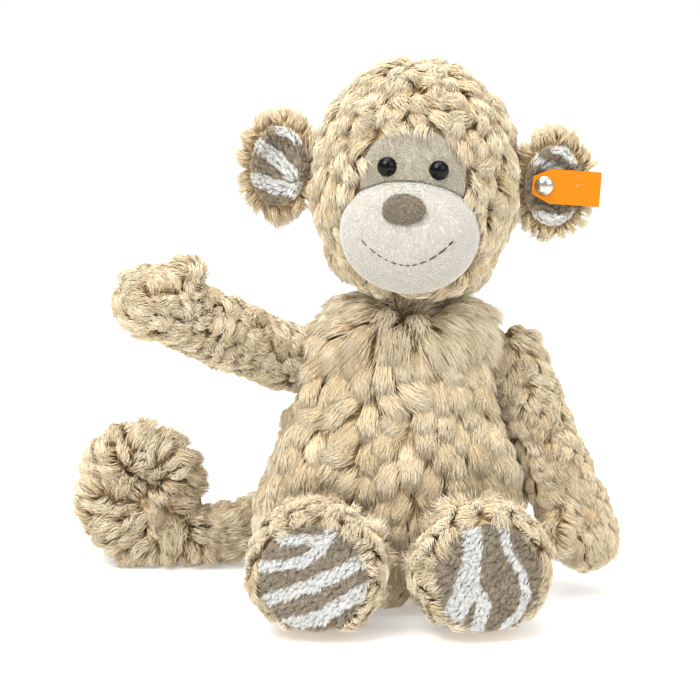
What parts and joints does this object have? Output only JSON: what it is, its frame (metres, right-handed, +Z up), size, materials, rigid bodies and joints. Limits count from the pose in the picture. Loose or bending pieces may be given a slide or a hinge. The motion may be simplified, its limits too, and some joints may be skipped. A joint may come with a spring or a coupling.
{
  "type": "stuffed monkey",
  "caption": "Seated stuffed monkey in curly pile with a turning head, folding ears, swinging arms and legs, and a curled tail.",
  "frame": {"origin": "middle of the flat seat, on the surface it sits on", "axes": "+Z up; the monkey faces -Y, and its left side is at +X"},
  "size_m": [0.2813, 0.158, 0.2747],
  "materials": {
    "curly_pile": "long curly pile, warm beige with darker roots",
    "cream_velour": "short dense pile",
    "greige_velour": "short dense pile",
    "brown_velour": "short dense pile",
    "striped_plush": "short shaggy pile printed with pale and grey-brown stripes",
    "black_thread": "stitched",
    "beige_thread": "stitched",
    "fibre_filling": "loose polyester fibre",
    "pellet_bag": "cotton bag of plastic pellets",
    "eye_gloss": "glossy black",
    "washer_plastic": "natural",
    "button_metal": "domed, satin silver",
    "yellow_tape": "woven satin tape, plain"
  },
  "bodies": {
    "torso": {"torso_base": "curly_pile", "torso_front_right": "curly_pile", "torso_front_left": "curly_pile", "torso_back_right": "curly_pile", "torso_back_left": "curly_pile", "seat_pellet_bag": "pellet_bag", "torso_stuffing": "fibre_filling", "tail_seam_thread": "beige_thread"},
    "neck": {"neck_stuffing": "fibre_filling", "neck_seam_thread": "beige_thread"},
    "head": {"muzzle": "cream_velour", "eye_patch": "greige_velour", "head_gusset": "curly_pile", "head_side_right": "curly_pile", "head_side_left": "curly_pile", "head_stuffing": "fibre_filling", "nose": "brown_velour", "mouth_thread": "black_thread", "right_eye": "eye_gloss", "left_eye": "eye_gloss", "eye_washers": "washer_plastic"},
    "right_ear": {"right_ear_back": "curly_pile", "right_ear_lining": "striped_plush"},
    "left_ear": {"left_ear_back": "curly_pile", "left_ear_lining": "striped_plush", "ear_button": "button_metal", "ear_button_washer": "button_metal"},
    "tag": {"ear_tag": "yellow_tape"},
    "tail": {"tail_back": "curly_pile", "tail_front": "curly_pile", "tail_stuffing": "fibre_filling"},
    "right_shoulder": {"right_arm_seam_thread": "beige_thread"},
    "right_arm": {"right_arm_inner": "curly_pile", "right_arm_outer": "curly_pile", "right_arm_stuffing": "fibre_filling"},
    "right_hip": {"right_leg_seam_thread": "beige_thread"},
    "right_leg": {"right_sole": "striped_plush", "right_leg_upper": "curly_pile", "right_leg_lower": "curly_pile", "right_leg_stuffing": "fibre_filling"},
    "left_shoulder": {"left_arm_seam_thread": "beige_thread"},
    "left_arm": {"left_arm_inner": "curly_pile", "left_arm_outer": "curly_pile", "left_arm_stuffing": "fibre_filling"},
    "left_hip": {"left_leg_seam_thread": "beige_thread"},
    "left_leg": {"left_sole": "striped_plush", "left_leg_upper": "curly_pile", "left_leg_lower": "curly_pile", "left_leg_stuffing": "fibre_filling"}
  },
  "joints": [
    {"name": "neck_turn", "type": "hinge", "parent": "torso", "child": "neck", "pos_m": [0.0115, 0, 0.15], "axis": [0, 0, 1], "range_deg": [-30, 30]},
    {"name": "head_nod", "type": "hinge", "parent": "neck", "child": "head", "pos_m": [0.0115, 0, 0.15], "axis": [1, 0, 0], "range_deg": [-12, 9]},
    {"name": "right_ear_fold", "type": "hinge", "parent": "head", "child": "right_ear", "pos_m": [-0.04319, -0.00009, 0.22083], "axis": [0.0592, -0.0041, 0.9982], "range_deg": [-18, 18]},
    {"name": "left_ear_fold", "type": "hinge", "parent": "head", "child": "left_ear", "pos_m": [0.06894, -0.00793, 0.21416], "axis": [-0.0592, 0.0041, -0.9982], "range_deg": [-18, 18]},
    {"name": "tag_swing", "type": "hinge", "parent": "left_ear", "child": "tag", "pos_m": [0.07661, -0.01569, 0.21367], "axis": [-0.0698, -0.9976, 0], "range_deg": [-25, 25]},
    {"name": "right_arm_swing", "type": "hinge", "parent": "torso", "child": "right_shoulder", "pos_m": [-0.052, 0, 0.1215], "axis": [-1, 0, 0], "range_deg": [-30, 40]},
    {"name": "right_arm_lift", "type": "hinge", "parent": "right_shoulder", "child": "right_arm", "pos_m": [-0.052, 0, 0.1215], "axis": [0, 1, 0], "range_deg": [-90, 30]},
    {"name": "right_leg_spread", "type": "hinge", "parent": "torso", "child": "right_hip", "pos_m": [-0.032, -0.044, 0.034], "axis": [0, 0, -1], "range_deg": [-5, 18]},
    {"name": "right_leg_lift", "type": "hinge", "parent": "right_hip", "child": "right_leg", "pos_m": [-0.032, -0.044, 0.034], "axis": [-1, 0, 0], "range_deg": [-20, 20]},
    {"name": "left_arm_swing", "type": "hinge", "parent": "torso", "child": "left_shoulder", "pos_m": [0.062, 0, 0.1215], "axis": [-1, 0, 0], "range_deg": [-40, 60]},
    {"name": "left_arm_lift", "type": "hinge", "parent": "left_shoulder", "child": "left_arm", "pos_m": [0.062, 0, 0.1215], "axis": [0, -1, 0], "range_deg": [0, 95]},
    {"name": "left_leg_spread", "type": "hinge", "parent": "torso", "child": "left_hip", "pos_m": [0.038, -0.044, 0.034], "axis": [0, 0, 1], "range_deg": [-5, 18]},
    {"name": "left_leg_lift", "type": "hinge", "parent": "left_hip", "child": "left_leg", "pos_m": [0.038, -0.044, 0.034], "axis": [-1, 0, 0], "range_deg": [-20, 20]},
    {"name": "tail_swing", "type": "hinge", "parent": "torso", "child": "tail", "pos_m": [-0.036, 0.041, 0.033], "axis": [0, 0, -1], "range_deg": [-8, 20]}
  ]
}
